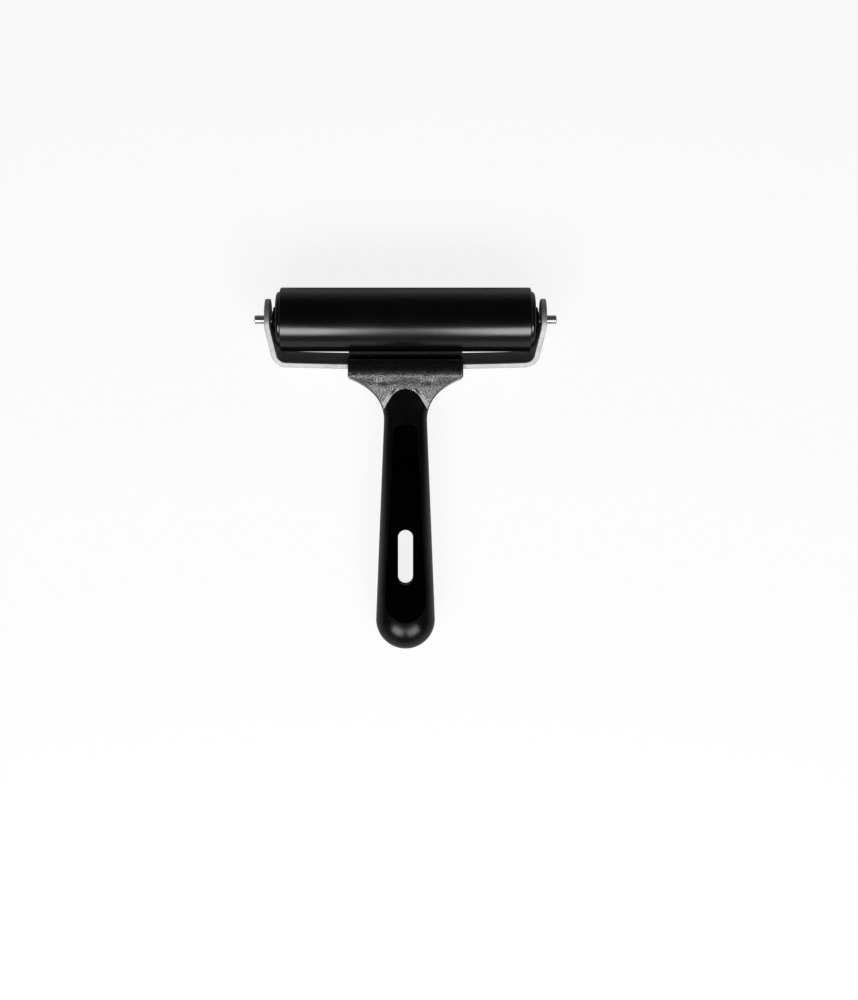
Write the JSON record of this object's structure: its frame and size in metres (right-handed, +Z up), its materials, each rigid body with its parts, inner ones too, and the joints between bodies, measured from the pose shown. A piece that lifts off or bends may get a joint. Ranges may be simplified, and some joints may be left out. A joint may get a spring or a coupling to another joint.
{
  "type": "rubber brayer",
  "caption": "Hand ink roller: a rubber-covered roller turning on a fixed steel axle, held by a bent strap yoke in a moulded plastic handle with a hanging slot.",
  "frame": {"origin": "on the bench the tool lies on, under the middle of its bounding box", "axes": "+X along the axle, +Y from the handle's tip to the roller, +Z up from the bench to the tool's front"},
  "size_m": [0.121, 0.1454, 0.0286],
  "materials": {
    "roller_rubber": "satin, ground",
    "tube_aluminium": "drawn tube",
    "cap_plastic": "gloss",
    "bush_plastic": "turned acetal",
    "axle_steel": "bright turned",
    "washer_plastic": "satin",
    "yoke_steel": "bright plated strip",
    "textured_plastic": "coarse spark-eroded texture",
    "grip_plastic": "smooth satin",
    "inlay_rubber": "matte"
  },
  "bodies": {
    "frame": {"yoke": "yoke_steel", "axle": "axle_steel", "thrust_washer_left": "washer_plastic", "thrust_washer_right": "washer_plastic", "handle_core": "textured_plastic", "grip": "grip_plastic", "front_inlay": "inlay_rubber", "back_inlay": "inlay_rubber"},
    "roller": {"rubber_sleeve": "roller_rubber", "core_tube": "tube_aluminium", "end_cap_left": "cap_plastic", "end_cap_right": "cap_plastic", "bearing_bush_left": "bush_plastic", "bearing_bush_right": "bush_plastic"}
  },
  "joints": [
    {"name": "roller_spin", "type": "hinge", "parent": "frame", "child": "roller", "pos_m": [0, 0.0599, 0.0158], "axis": [1, 0, 0], "continuous": true}
  ]
}
